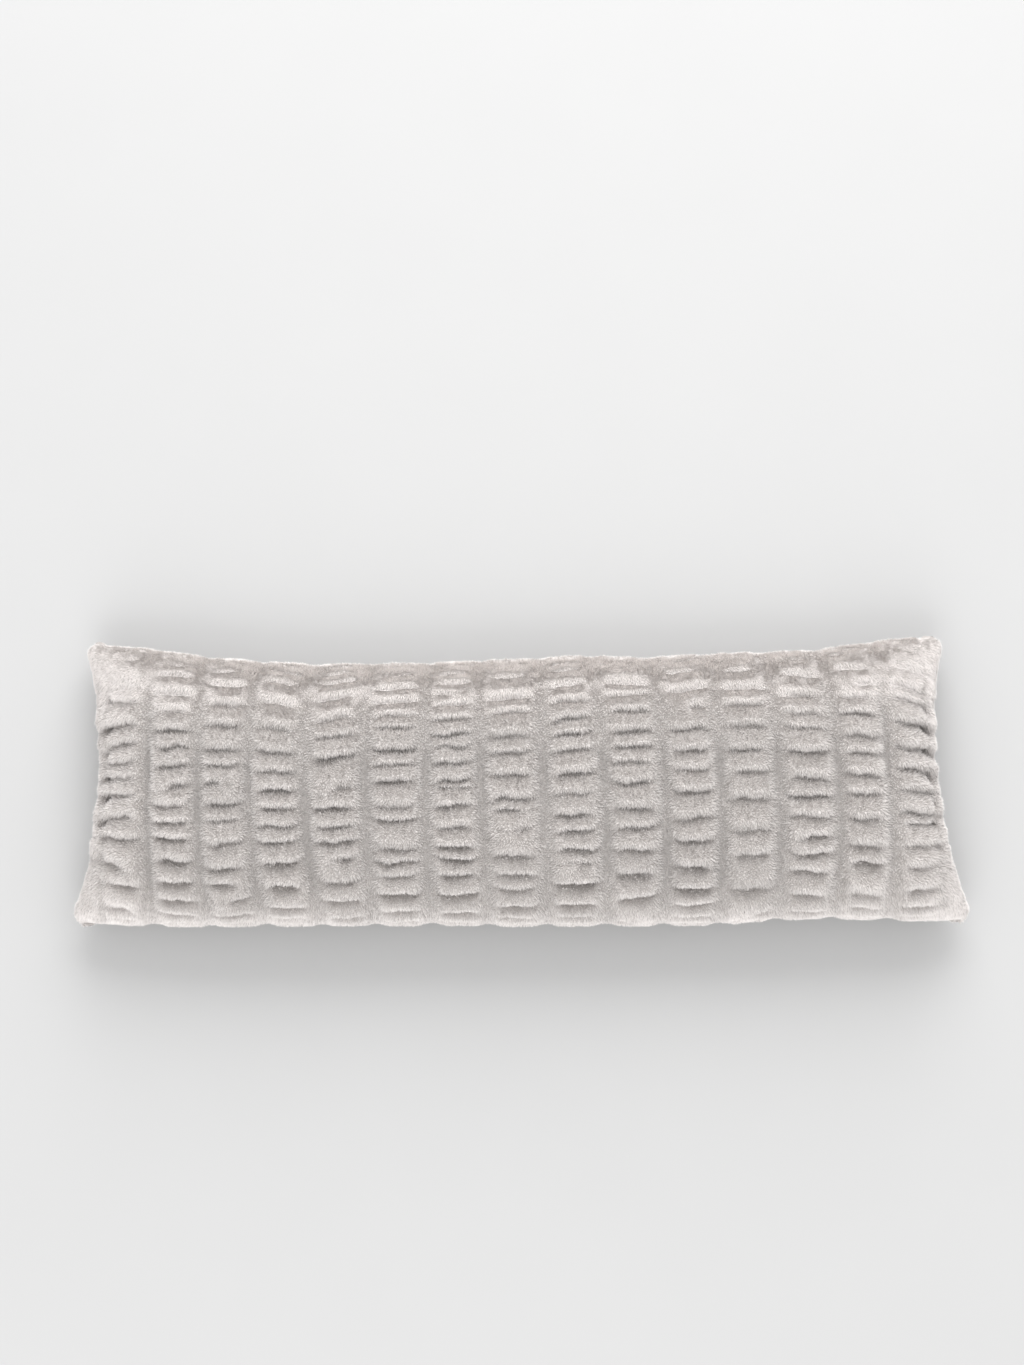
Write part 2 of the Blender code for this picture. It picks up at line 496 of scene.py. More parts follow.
@dataclass(frozen=True)
class Ruching:
    """The gathers of the face: how high the cloth stands, and how its pile lies.

    A relief is the share of the welts' height that is left at that edge or corner, upper_lines
    and lower_lines are that of the lines' depth, and a fade or a pair of turns is where a change
    begins and ends. overhang is how far crests sag over the crease below, cut_short the share
    of creases that stop halfway, and seam_share how much of the outer columns lies past their
    outer line. edge_parting is how far the pile parts over the upper edge: shorter
    there, and painted darker, a painted shade. The lays are shares from standing, 0, to lying,
    1; where the pile lies its colour is painted lighter, a painted highlight. Lumps, patches and
    line_width are in mm along the cloth.
    """

    crest: float = 11 * MM
    crease_depth: float = 9 * MM
    line_depth: float = 7 * MM
    welt_end: float = 0.25
    overhang: float = 0.4
    flat_share: float = 0.4
    upper_relief: float = 0.24
    upper_fade: tuple = (0.15, 0.85)
    lower_relief: float = 0.4
    lower_fade: tuple = (0.6, 0.95)
    corner_relief: float = 0.1
    upper_corner: tuple = (0.45, 0.8)
    lower_corner: tuple = (0.25, 0.55)
    corner_lines: tuple = (0.8, 1.8)
    upper_lines: float = 0.2
    upper_line_fade: tuple = (0.05, 0.45)
    lower_lines: float = 0.4
    lower_line_fade: tuple = (0.4, 0.85)
    line_unevenness: float = 0.4
    roll_start: float = 1.1
    roll_end: float = 1.35
    welt_lean: float = 0.40
    cut_short: float = 0.06
    rolled_welts: int = 5
    rolled_gap: float = 0.11
    seam_share: float = 0.2
    outer_end: tuple = (-0.03, 0.08)
    line_half: float = 0.03
    late_starts: tuple = (0.15, 0.45)
    usual_starts: tuple = (-0.15, 0.1)
    early_ends: tuple = (0.55, 0.85)
    usual_ends: tuple = (0.9, 1.15)
    crease_depths: tuple = (0.65, 1.0)
    welt_sizes: tuple = (0.85, 1.05)
    lumps: float = 0.7 * MM
    small_lumps: tuple = (11, 11)
    wide_lumps: tuple = (90, 70)
    dimple_depth: float = 12 * MM
    dimple_size: float = 6 * MM
    parted_depths: tuple = (0.3, 1.0)
    edge_parting: float = 0.5
    parted_turns: tuple = (0.86, 1.0)
    base_lay: float = 0.15
    crest_lay: float = 0.2
    patchy_lay: float = 0.2
    lay_patches: tuple = (60, 45)
    upper_lay: float = 1.2
    upper_lay_turns: tuple = (0.25, 0.75)
    lay_lost: float = 0.6
    lay_lost_turns: tuple = (0.9, 1.2)
    edge_lay: float = 0.6
    lower_lay_turns: tuple = (0.5, 1.0)
    line_stand: float = 0.35
    line_width: float = 9
    seed: int = 5

    def column(self, crown: Crown, number: int) -> Column:
        """Lay out the creases of one column, with more where it rolls under the edges.

        Args:
            crown: The filled body.
            number: The column's number, from the left.

        Returns:
            The column.
        """
        rng = np.random.default_rng(self.seed + number)
        inside_edge = FACE_TOP_ROW + 2
        rows = np.maximum(np.array(CREASE_ROWS[number][::-1], float), inside_edge)
        slants = np.interp(rows, SLANT_ROWS, SLANTS[number])
        middle = number + 1.5
        inside = crown.turn_at(middle, rows)
        higher = crown.turn_at(middle, rows - 1)
        least, most = 0.004, 0.012
        pixel = np.clip(higher - inside, least, most)
        ends = []
        for side in (-0.5, 0.5):
            turned = inside + slants * side * pixel
            under = turned[0] - self.rolled_gap * np.arange(self.rolled_welts, 0, -1)
            over = turned[-1] + self.rolled_gap * np.arange(1, self.rolled_welts + 1)
            ends.append(np.concatenate((under, turned, over)))
        count = len(ends[0])
        late = rng.random(count) < self.cut_short / 2
        early = rng.random(count) < self.cut_short / 2
        drawn = partial(rng.uniform, size=count)
        return Column(
            left=ends[0],
            right=ends[1],
            starts=np.where(late, drawn(*self.late_starts), drawn(*self.usual_starts)),
            ends=np.where(early, drawn(*self.early_ends), drawn(*self.usual_ends)),
            depths=drawn(*self.crease_depths),
            sizes=drawn(*self.welt_sizes),
            welt_lean=self.welt_lean,
            seed=self.seed + 40 * (number + 1),
        )

    def dimples(self, crown: Crown, end: End, position: float, turn: np.ndarray) -> np.ndarray:
        """Work out how deep the dimples beside a side seam are, 0 to 1.

        Args:
            crown: The filled body.
            end: The short side that the seam is on.
            position: The place along the pillow, counted in lines.
            turn: The turns to work it out for.

        Returns:
            One depth for each turn.
        """
        centres = crown.turn_at(end.value, DIMPLE_ROWS[end])
        apart = np.min(np.abs(turn[:, None] - centres[None, :]), axis=1)
        near = apart * (TURN_LENGTH * MM)
        beyond = (end.value - position) * (1 if end is End.LEFT else -1)
        to_seam, to_middle = 20 * MM, 65 * MM
        aside = beyond * (to_seam if beyond > 0 else to_middle)
        return np.exp(-(near**2 + aside**2) / self.dimple_size**2)

    def across_column(self, position: float) -> tuple[int, float]:
        """Find the column at a place. The outer two run on to the side seams.

        Args:
            position: The place along the pillow, counted in lines.

        Returns:
            The column's number, and the share of the way across it.
        """
        number = int(np.clip(math.floor(position) - 1, 0, COLUMNS - 1))
        share = position - 1 - number
        if number == 0:
            share = self.seam_share * min(position, 1) + (1 - self.seam_share) * max(share, 0)
        if number == COLUMNS - 1:
            past = max(share - 1, 0)
            share = (1 - self.seam_share) * min(share, 1) + self.seam_share * past
        return number, share

    def heights(self, crown: Crown, positions: np.ndarray, turns: np.ndarray) -> np.ndarray:
        """Work out how far the cloth stands over the body.

        Args:
            crown: The filled body.
            positions: Places along the pillow, counted in lines.
            turns: The turns of the rows.

        Returns:
            The heights, in rows of turns.
        """
        lines = []
        columns = [self.column(crown, number) for number in range(COLUMNS)]
        line_share = self.line_share(turns)
        for position in positions:
            number, share = self.across_column(position)
            rise, valley, crown_share = 1.0, 0.0, share
            for beside, outer in ((share, number == 0), (1 - share, number == COLUMNS - 1)):
                low, high = self.outer_end if outer else (self.line_half, self.welt_end)
                rise *= float(smooth_step(low, high, np.array(beside)))
                if outer:
                    crown_share = 0.5 if beside < 0.5 else crown_share
                else:
                    valley += 1 - float(smooth_step(0, self.welt_end, np.array(beside)))
            bulge = math.sin(math.pi * crown_share) ** 0.8
            welts = columns[number].welts(share, turns)
            full = (self.crest + self.crease_depth) * welts - self.crease_depth
            places = (np.full(len(turns), round(position) * 1.7), turns)
            uneven = 1 + self.line_unevenness * wander(places, (1, 0.25), self.seed)
            line = self.line_depth * valley * uneven * line_share
            puffed = self.flat_share + (1 - self.flat_share) * bulge
            relief = full * rise * puffed - line
            for end in End:
                if abs(position - end.value) < 1:
                    relief = relief - self.dimple_depth * self.dimples(crown, end, position, turns)
            lines.append(relief)
        relief = np.stack(lines, axis=1)
        upper = 1 - (1 - self.upper_relief) * smooth_step(*self.upper_fade, turns[:, None])
        lower = 1 - (1 - self.lower_relief) * smooth_step(*self.lower_fade, -turns[:, None])
        from_end = np.minimum(positions, LAST - positions)[None, :]
        below = smooth_step(*self.lower_corner, -turns)
        to_corner = below + smooth_step(*self.upper_corner, turns)
        corner = to_corner[:, None] * (1 - smooth_step(*self.corner_lines, from_end))
        fade = upper * lower * (1 - (1 - self.corner_relief) * corner)
        return relief * fade * self.gathered(turns)

    def gathered(self, turns: np.ndarray) -> np.ndarray:
        """Return the share of the gathers that is left at each turn, none under the back."""
        return 1 - smooth_step(self.roll_start, self.roll_end, np.abs(turns)[:, None])

    def line_share(self, turns: np.ndarray) -> np.ndarray:
        """Return how deep the lines lie at each turn, 1 in the middle and less to the edges."""
        above = 1 - (1 - self.upper_lines) * smooth_step(*self.upper_line_fade, turns)
        return above * (1 - (1 - self.lower_lines) * smooth_step(*self.lower_line_fade, -turns))

    def unevenness(self, positions: np.ndarray, turns: np.ndarray) -> np.ndarray:
        """Work out the filling's own small and wide lumps.

        Args:
            positions: Places along the pillow, counted in lines.
            turns: The turns of the rows.

        Returns:
            Their heights, in rows of turns.
        """
        places = np.meshgrid(positions * LINE_PITCH, turns * TURN_LENGTH)
        small = wander(places, self.small_lumps, self.seed + 9)
        wide = wander(places, self.wide_lumps, self.seed + 8)
        return self.lumps * (small + 2 * wide) * self.gathered(turns)

    def parting(self, turns: np.ndarray, heights: np.ndarray) -> np.ndarray:
        """Work out how far the pile parts: it is shorter there, and its colour gets painted shade.

        It parts deep in the creases, and where the cloth bends over the upper edge: the painted
        shade darkens the creases and tones down the lit upper edge.

        Args:
            turns: The turns of the rows.
            heights: How far the cloth stands over the body, in rows of turns.

        Returns:
            The partings, 0 to 1, in rows of turns.
        """
        in_crease = smooth_step(*self.parted_depths, -heights / self.crease_depth)
        over_edge = self.edge_parting * smooth_step(*self.parted_turns, turns[:, None])
        return np.maximum(in_crease, over_edge)

    def lay(self, positions: np.ndarray, turns: np.ndarray, heights: np.ndarray) -> np.ndarray:
        """Work out how far the pile lies over.

        It stands in the middle of the face and on the lines, and lies on the welts' crests and
        towards the edges. Where it lies, the pile's colour is painted lighter, a painted highlight.

        Args:
            positions: Places along the pillow, counted in lines.
            turns: The turns of the rows.
            heights: How far the cloth stands over the body, in rows of turns.

        Returns:
            The lays, 0 standing to 1 lying, in rows of turns.
        """
        position, turn = np.meshgrid(positions, turns)
        lost = self.lay_lost * smooth_step(*self.lay_lost_turns, turn)
        above = self.upper_lay * (smooth_step(*self.upper_lay_turns, turn) * (1 - lost))
        below = self.edge_lay * smooth_step(*self.lower_lay_turns, -turn)
        ends = self.edge_lay * np.abs(2 * position / LAST - 1) ** 5
        near_line = np.abs(position - np.round(position)) * LINE_PITCH / self.line_width
        places = (position * LINE_PITCH, turn * TURN_LENGTH)
        patchy = self.patchy_lay * wander(places, self.lay_patches, self.seed + 7)
        crests = self.crest_lay * np.clip(heights / self.crest, 0, 1)
        standing = self.line_stand * np.exp(-(near_line**2))
        return np.clip(self.base_lay + above + below + ends + crests + patchy - standing, 0, 1)


@dataclass(frozen=True)
class Cover:
    """The cloth of the pillow, under its pile: one closed skin.

    The skin lies under the body's outline by the height of the pile. held_turns are where the
    simulation's hold on the cloth begins and is full. slack is how much the cloth may stretch,
    and cap the furthest that a point moves. rest_height leaves room for the pressed pile.
    """

    crown: Crown
    ruching: Ruching
    pile_height: float = 3.6 * MM
    pressed_pile: float = 1.5 * MM
    facets_per_column: int = 16
    facets_per_end: int = 12
    face_rows: int = 220
    back_rows: int = 20
    face_patches: int = 4
    back_slope: float = -0.35
    held_turns: tuple = (0.88, 1.08)
    hold_steps: int = 10
    sim_frames: int = 20
    sim_quality: int = 5
    mass: float = 0.4
    stretch_stiffness: float = 20.0
    shear_stiffness: float = 8.0
    bending_stiffness: float = 0.6
    air_damping: float = 4.0
    pressure: float = 4.0
    slack: float = 0.01
    cap: float = 3 * MM
    rest_height: float = 3.2 * MM

    def positions(self) -> np.ndarray:
        """Space the grid lines out along the pillow.

        Returns:
            The place of each, counted in gathering lines.
        """
        left = np.arange(self.facets_per_end) / self.facets_per_end
        middle = 1 + np.arange(COLUMNS * self.facets_per_column) / self.facets_per_column
        right = LAST - 1 + np.arange(self.facets_per_end + 1) / self.facets_per_end
        return np.concatenate((left, middle, right))

    def turns(self) -> np.ndarray:
        """Space the grid rows out round the pillow, close together on the ruched part.

        Returns:
            The turn of each.
        """
        roll = self.ruching.roll_end
        under = np.linspace(-2, -roll, self.back_rows, endpoint=False)
        face = np.linspace(-roll, roll, self.face_rows, endpoint=False)
        over = np.linspace(roll, 2, self.back_rows, endpoint=False)
        return np.concatenate((under, face, over))

    def points(self, heights: np.ndarray) -> np.ndarray:
        """Place the skin's points.

        Args:
            heights: How far the cloth stands over the body, in rows of turns.

        Returns:
            The points as an array of rows, grid lines and x, y, z.
        """
        positions, turns = self.positions(), self.turns()
        grid_position, grid_turn = np.meshgrid(positions, turns)
        sagged = grid_turn - self.ruching.overhang * heights / (TURN_LENGTH * MM)
        points = self.crown.point(grid_position, sagged)
        normals = self.crown.normal(grid_position, sagged)
        on_back = smooth_step(1.0, self.ruching.roll_end, np.abs(grid_turn))
        inset = self.pile_height + (self.pressed_pile - self.pile_height) * on_back
        heights = heights + self.ruching.unevenness(positions, turns)
        return points + normals * (heights - inset)[..., None]

    def build(self) -> bpy.types.Object:
        """Build the skin.

        Returns:
            A closed mesh object, marked with its patches and with how its pile lies.
        """
        positions, turns = self.positions(), self.turns()
        heights = self.ruching.heights(self.crown, positions, turns)
        points = self.points(heights)
        lays = self.ruching.lay(positions, turns, heights)
        partings = self.ruching.parting(turns, heights)
        height, width = points.shape[:2]
        skin = bmesh.new()
        names = ("turn", "lay", "parted", "held")
        layers = [skin.verts.layers.float.new(name) for name in names]
        grid = bmesh.ops.create_grid(skin, x_segments=width - 1, y_segments=height - 1)
        rows = [grid["verts"][row * width : (row + 1) * width] for row in range(height)]
        for row, places, lay_row, parted_row, turn in zip(rows, points, lays, partings, turns):
            rolled = float(smooth_step(*self.held_turns, np.abs(turn)))
            for vert, place, lay, parted in zip(row, places, lay_row, parted_row):
                vert.co = Vector(place)
                for layer, value in zip(layers, (turn, lay, parted, max(parted, rolled))):
                    vert[layer] = value
        self.close(skin, rows, turns)
        self.mark_faces(skin, layers[0])
        return add_mesh(skin, "cover")

    def close(self, skin: bmesh.types.BMesh, rows: Sequence[Points], turns: np.ndarray) -> None:
        """Close the skin along the middle of the back and over both short sides.

        Args:
            skin: The skin, an open grid.
            rows: Its points, in rows.
            turns: The turn of each row.
        """
        bridge(skin, rows[0], rows[-1])
        split = 1 + self.crown.band_turn / 2
        for side in (0, -1):
            ring = [row[side] for row in rows]
            face = [vert for vert, turn in zip(ring, turns) if abs(turn) <= split]
            over = [vert for vert, turn in zip(ring, turns) if turn > split]
            under = [vert for vert, turn in zip(ring, turns) if turn < -split]
            bridge(skin, face, over + under)
        bmesh.ops.recalc_face_normals(skin, faces=skin.faces[:])

    def settle(self, cover: bpy.types.Object) -> None:
        """Blow the cloth up between its gathers with a cloth simulation, and keep its shape.

        The cloth is held in the creases, on the lines and on the back, and no point moves
        further than the cap.

        Args:
            cover: The skin, whose mesh is changed in place.
        """
        data = cover.data
        count = len(data.vertices)
        held = np.empty(count, np.float32)
        data.attributes["held"].data.foreach_get("value", held)
        group = cover.vertex_groups.new(name="held")
        for step in range(self.hold_steps + 1):
            chosen = np.flatnonzero(np.round(held * self.hold_steps) == step)
            group.add([int(index) for index in chosen], step / self.hold_steps, "REPLACE")
        modifier = cover.modifiers.new("filling", "CLOTH")
        cloth = modifier.settings
        cloth.quality = self.sim_quality
        cloth.mass = self.mass
        cloth.tension_stiffness = self.stretch_stiffness
        cloth.compression_stiffness = self.stretch_stiffness
        cloth.shear_stiffness = self.shear_stiffness
        cloth.bending_stiffness = self.bending_stiffness
        cloth.air_damping = self.air_damping
        cloth.vertex_group_mass = "held"
        cloth.use_pressure = True
        cloth.uniform_pressure_force = self.pressure
        cloth.shrink_min = -self.slack
        cloth.effector_weights.gravity = 0
        modifier.collision_settings.use_collision = False
        modifier.point_cache.frame_start = 1
        modifier.point_cache.frame_end = self.sim_frames
        scene = bpy.context.scene
        for frame_number in range(1, self.sim_frames + 1):
            scene.frame_set(frame_number)
        graph = bpy.context.evaluated_depsgraph_get()
        before = np.empty(count * 3, np.float32)
        after = np.empty(count * 3, np.float32)
        data.vertices.foreach_get("co", before)
        cover.evaluated_get(graph).data.vertices.foreach_get("co", after)
        move = (after - before).reshape(-1, 3)
        length = np.linalg.norm(move, axis=1, keepdims=True)
        log.info("cloth moved by %.2f mm, at most %.1f mm", length.mean() / MM, length.max() / MM)
        move *= np.minimum(1, self.cap / np.maximum(length, 1e-9))
        cover.modifiers.clear()
        cover.vertex_groups.clear()
        scene.frame_set(1)
        data.vertices.foreach_set("co", before + move.ravel())
        data.update()

    def mark_faces(self, skin: bmesh.types.BMesh, turn_layer: bmesh.types.BMLayerItem) -> None:
        """Mark each face of the skin with its patch of pile and lay out its map.

        Args:
            skin: The skin.
            turn_layer: The layer that holds each point's turn.
        """
        patch_layer = skin.faces.layers.int.new("patch")
        map_layer = skin.loops.layers.uv.new("OFBake")
        low = min(vert.co.x for vert in skin.verts)
        length = max(vert.co.x for vert in skin.verts) - low
        for face in skin.faces:
            share = (face.calc_center_median().x - low) / length
            on_back = face.normal.z < self.back_slope
            face[patch_layer] = self.face_patches if on_back else int(share * self.face_patches)
            turns = [loop.vert[turn_layer] for loop in face.loops]
            wraps = max(turns) - min(turns) > 2
            for loop, turn in zip(face.loops, turns):
                round_share = (turn + 2) / 4 + (1 if wraps and turn < 0 else 0)
                loop[map_layer].uv = ((loop.vert.co.x - low) / length, round_share)


@dataclass(frozen=True)
class PlushFinish:
    """Polyester faux fur, knitted and brushed: matte fibres, with painted shade darker down in the
    pile.
    """

    root_hex: str = "#b6b1ae"
    tip_hex: str = "#e8e4e2"
    roughness: float = 0.85
    sheen: float = 0.1
    specular: float = 0.2
    gap_hex: str = "#a6a19e"
    knit_loop: float = 1.2 * MM
    root_share: float = 0.5
    ground_roughness: float = 0.95

    def fibres(self) -> bpy.types.Material:
        """Make the pile's material, darker towards the root in painted shade and lighter to the
        tip.

        Returns:
            The material.
        """
        # Brushed and sheared polyester: soft and matte. Its colour darkens from tip to root, a
        # painted shade for the shadow down in the pile.
        material = bpy.data.materials.new("brushed_polyester_pile")
        material.use_nodes = True
        tree = material.node_tree
        add = partial(add_node, tree)
        shader = tree.nodes["Principled BSDF"]
        shader.inputs["Roughness"].default_value = self.roughness
        shader.inputs["Sheen Weight"].default_value = self.sheen
        shader.inputs["Specular IOR Level"].default_value = self.specular
        reach = add("ShaderNodeAttribute", attribute_name="reach").outputs["Fac"]
        shade = add("ShaderNodeAttribute", attribute_name="shade").outputs["Fac"]
        # Painted shade: the blade's colour runs from the darkened root colour to the tip colour.
        height = add("ShaderNodeMath", {0: reach, 1: self.root_share}, operation="POWER")
        colours = {0: height, 6: linear(self.root_hex), 7: linear(self.tip_hex)}
        depth = add("ShaderNodeMix", colours, data_type="RGBA").outputs[2]
        # The shade attribute lightens and darkens each blade: a painted highlight where the pile
        # lies, painted shade where it parts, and a random tone from tuft to tuft.
        tone = add("ShaderNodeHueSaturation", {"Value": shade, "Color": depth})
        tree.links.new(tone.outputs["Color"], shader.inputs["Base Color"])
        return material

    def ground(self) -> bpy.types.Material:
        """Make the material of the knitted ground under the pile, in painted shade as dark as the
        roots.

        Returns:
            The material.
        """
        # Weft-knitted polyester: it shows between the roots as a matte, faintly speckled floor;
        # both of its tones are painted shade, darker than the fibres' tips.
        material = bpy.data.materials.new("knitted_polyester_ground")
        material.use_nodes = True
        tree = material.node_tree
        add = partial(add_node, tree)
        shader = tree.nodes["Principled BSDF"]
        shader.inputs["Roughness"].default_value = self.ground_roughness
        shader.inputs["Specular IOR Level"].default_value = self.specular
        place = add("ShaderNodeTexCoord").outputs["Object"]
        loops = {"Vector": place, "Scale": 1 / self.knit_loop, "Detail": 1.0}
        loops = add("ShaderNodeTexNoise", loops)
        # Painted shade: the speckles mix two darkened tones, the gap colour and the root colour.
        colours = {0: loops, 6: linear(self.gap_hex), 7: linear(self.root_hex)}
        knit = add("ShaderNodeMix", colours, data_type="RGBA")
        tree.links.new(knit.outputs[2], shader.inputs["Base Color"])
        return material


@dataclass(frozen=True)
class Pile:
    """Pile on one side of the pillow: fine blades of fibre, gathered into small tufts.

    nap is how far it is brushed towards the lower edge, fan how much it turns out towards the
    ends, and swirl, tuft_lean and stray how unevenly it lies over wide places, from tuft to tuft
    and from blade to blade. tuft is how strongly blades draw together. laid_shine is
    how much lighter the pile's colour is painted where it lies over, a painted highlight, and
    parted_shade how much darker it is painted where it parts, a painted shade. Blades
    vary from the shortest to the longest share of the length. The lean is multiplied by
    standing_lean where the pile stands and laid_lean where it lies, and laid_unevenness is the
    unevenness left there.
    """

    density: float = 1.02e6
    length: float = 4.6 * MM
    # Real fibres are about 0.03 mm thick. A blade is drawn coarser and stands for a lock of them.
    width: float = 0.66 * MM
    shortest: float = 0.75
    longest: float = 1.1
    nap: float = 0.9
    fan: float = 0.8
    fall: float = 0.3
    stray: float = 0.22
    swirl: float = 1.0
    swirl_size: float = 14 * MM
    tuft: float = 1.5
    tuft_lean: float = 0.6
    tuft_size: float = 3.2 * MM
    tuft_shade: float = 0.09
    parted_length: float = 0.4
    parted_shade: float = 0.24
    laid_shine: float = 0.24
    standing_lean: float = 0.4
    laid_lean: float = 1.4
    laid_unevenness: float = 0.3

    def sizes(self) -> dict[str, float]:
        """Return the value of each of the tree's named sizes."""
        names = [item.name for item in fields(self)]
        return {name.replace("_", " ").title(): getattr(self, name) for name in names}

    def tree(self, material: bpy.types.Material) -> bpy.types.NodeTree:
        """Make the tree that plants blades on one patch of the cloth, with named inputs.

        Args:
            material: What the blades are made of.

        Returns:
            The tree.
        """
        tree = bpy.data.node_groups.new("pile", "GeometryNodeTree")
        add = partial(add_node, tree)
        kinds = {"Cloth": "Geometry", "Seed": "Int", "Patch": "Int"}
        kinds.update(dict.fromkeys(self.sizes(), "Float"))
        for name, kind in kinds.items():
            tree.interface.new_socket(name, in_out="INPUT", socket_type="NodeSocket" + kind)
        tree.interface.new_socket("Pile", in_out="OUTPUT", socket_type="NodeSocketGeometry")
        given = add("NodeGroupInput").outputs
        number, named = "ShaderNodeMath", "GeometryNodeInputNamedAttribute"

        own = add(named, {"Name": "patch"}, data_type="INT")
        patch = {2: own, 3: given["Patch"]}
        chosen = add("FunctionNodeCompare", patch, data_type="INT", operation="EQUAL")
        planting = {
            "Mesh": given["Cloth"],
            "Selection": chosen,
            "Density": given["Density"],
            "Seed": given["Seed"],
        }
        planted = add("GeometryNodeDistributePointsOnFaces", planting)
        normal = planted.outputs["Normal"]
        place = add("GeometryNodeInputPosition")
        cells = add(number, {0: 1.0, 1: given["Tuft Size"]}, operation="DIVIDE")
        tufts = add("ShaderNodeTexVoronoi", {"Vector": place, "Scale": cells})

        axes = {"Primary Axis": self.aim(tree, given, tufts, normal), "Secondary Axis": normal}
        rotation = add("FunctionNodeAxesToRotation", axes, primary_axis="Z", secondary_axis="Y")
        lengths = {2: given["Shortest"], 3: given["Longest"], "Seed": given["Seed"]}
        share = add("FunctionNodeRandomValue", lengths).outputs[1]
        parted = add(named, {"Name": "parted"}, data_type="FLOAT")
        lost = add(number, {0: parted, 1: given["Parted Length"]}, operation="MULTIPLY")
        share = add(number, {0: share, 1: lost}, operation="SUBTRACT")
        reach = add(number, {0: share, 1: given["Length"]}, operation="MULTIPLY")
        sizes = {"X": given["Width"], "Y": given["Width"], "Z": reach}
        placing = {
            "Points": planted.outputs["Points"],
            "Instance": self.blade(tree),
            "Rotation": rotation,
            "Scale": add("ShaderNodeCombineXYZ", sizes),
        }
        blades = add("GeometryNodeInstanceOnPoints", placing)

        # Each tuft differs in tone at random; where the pile parts, painted shade darkens its
        # colour, in the creases and over the upper edge.
        chance = add("ShaderNodeSeparateXYZ", {0: tufts.outputs["Color"]}).outputs["Z"]
        darker = add(number, {0: chance, 1: given["Tuft Shade"]}, operation="MULTIPLY")
        deeper = {0: parted, 1: given["Parted Shade"], 2: darker}
        deeper = add(number, deeper, operation="MULTIPLY_ADD")
        # Painted highlight: where the pile lies over, its colour is painted lighter.
        lay = add(named, {"Name": "lay"}, data_type="FLOAT")
        lighter = add(number, {0: lay, 1: given["Laid Shine"], 2: 1.0}, operation="MULTIPLY_ADD")
        shade = add(number, {0: lighter, 1: deeper}, operation="SUBTRACT")
        toned = {"Geometry": blades, "Name": "shade", "Value": shade}
        blades = add("GeometryNodeStoreNamedAttribute", toned, domain="INSTANCE")
        pile = add("GeometryNodeRealizeInstances", {"Geometry": blades})
        dressing = {"Geometry": self.mapped(tree, pile), "Material": material}
        dressed = add("GeometryNodeSetMaterial", dressing)
        add("NodeGroupOutput", {0: dressed})
        return tree

    def aim(
        self,
        tree: bpy.types.NodeTree,
        given: bpy.types.bpy_prop_collection,
        tufts: bpy.types.Node,
        normal: bpy.types.NodeSocket,
    ) -> bpy.types.Node:
        """Add the nodes that aim each blade from root to tip.

        Args:
            tree: The tree.
            given: Its inputs.
            tufts: The cells that the blades gather in.
            normal: The direction out of the cloth.

        Returns:
            The node that gives the direction of each blade.
        """
        add = partial(add_node, tree)
        vector, number = "ShaderNodeVectorMath", "ShaderNodeMath"
        place = add("GeometryNodeInputPosition")
        along = add("ShaderNodeSeparateXYZ", {0: place}).outputs["X"]
        outward = add(number, {0: along, 1: given["Fan"]}, operation="MULTIPLY")
        nap = add("ShaderNodeCombineXYZ", {"X": outward, "Y": -1.0})
        nap = add(vector, {0: nap, "Scale": given["Nap"]}, operation="SCALE")

        mid_grey = (0.5, 0.5, 0.5)
        waves = add(number, {0: 1.0, 1: given["Swirl Size"]}, operation="DIVIDE")
        noise = add("ShaderNodeTexNoise", {"Vector": place, "Scale": waves, "Detail": 1.0})
        swirl = add(vector, {0: noise.outputs["Color"], 1: mid_grey}, operation="SUBTRACT")
        swirl = add(vector, {0: swirl, "Scale": given["Swirl"]}, operation="SCALE")
        lean = add(vector, {0: nap, 1: swirl})
        own = add(vector, {0: tufts.outputs["Color"], 1: mid_grey}, operation="SUBTRACT")
        own = add(vector, {0: own, "Scale": given["Tuft Lean"]}, operation="SCALE")

        lay = add("GeometryNodeInputNamedAttribute", {"Name": "lay"}, data_type="FLOAT")
        squared = add(number, {0: lay, 1: lay}, operation="MULTIPLY")
        over = {"Value": squared, "To Min": given["Standing Lean"], "To Max": given["Laid Lean"]}
        over = add("ShaderNodeMapRange", over)
        uneven = {"Value": lay, "To Min": 1.0, "To Max": given["Laid Unevenness"]}
        uneven = add("ShaderNodeMapRange", uneven)
        lean = add(vector, {0: lean, "Scale": over}, operation="SCALE")
        own = add(vector, {0: own, "Scale": uneven}, operation="SCALE")
        lean = add(vector, {0: lean, 1: own})

        middle = add(vector, {0: tufts.outputs["Position"], 1: place}, operation="SUBTRACT")
        pull = add(number, {0: given["Tuft"], 1: given["Length"]}, operation="DIVIDE")
        pull = add(number, {0: pull, 1: uneven}, operation="MULTIPLY")
        middle = add(vector, {0: middle, "Scale": pull}, operation="SCALE")
        lean = add(vector, {0: lean, 1: middle})
        fall = add(number, {0: given["Fall"], 1: -1.0}, operation="MULTIPLY")
        fall = add("ShaderNodeCombineXYZ", {"Z": fall})
        lean = add(vector, {0: lean, 1: fall})

        rise = add(vector, {0: lean, 1: normal}, operation="DOT_PRODUCT").outputs["Value"]
        rise = add(vector, {0: normal, "Scale": rise}, operation="SCALE")
        flat = add(vector, {0: lean, 1: rise}, operation="SUBTRACT")
        leaned = add(vector, {0: flat, 1: normal})
        wild = {0: (-1.0, -1.0, -1.0), 1: (1.0, 1.0, 1.0), "Seed": given["Seed"]}
        wild = add("FunctionNodeRandomValue", wild, data_type="FLOAT_VECTOR")
        stray = add(number, {0: given["Stray"], 1: uneven}, operation="MULTIPLY")
        stray = add(vector, {0: wild, "Scale": stray}, operation="SCALE")
        aim = add(vector, {0: leaned, 1: stray})
        return add(vector, {0: aim}, operation="NORMALIZE")

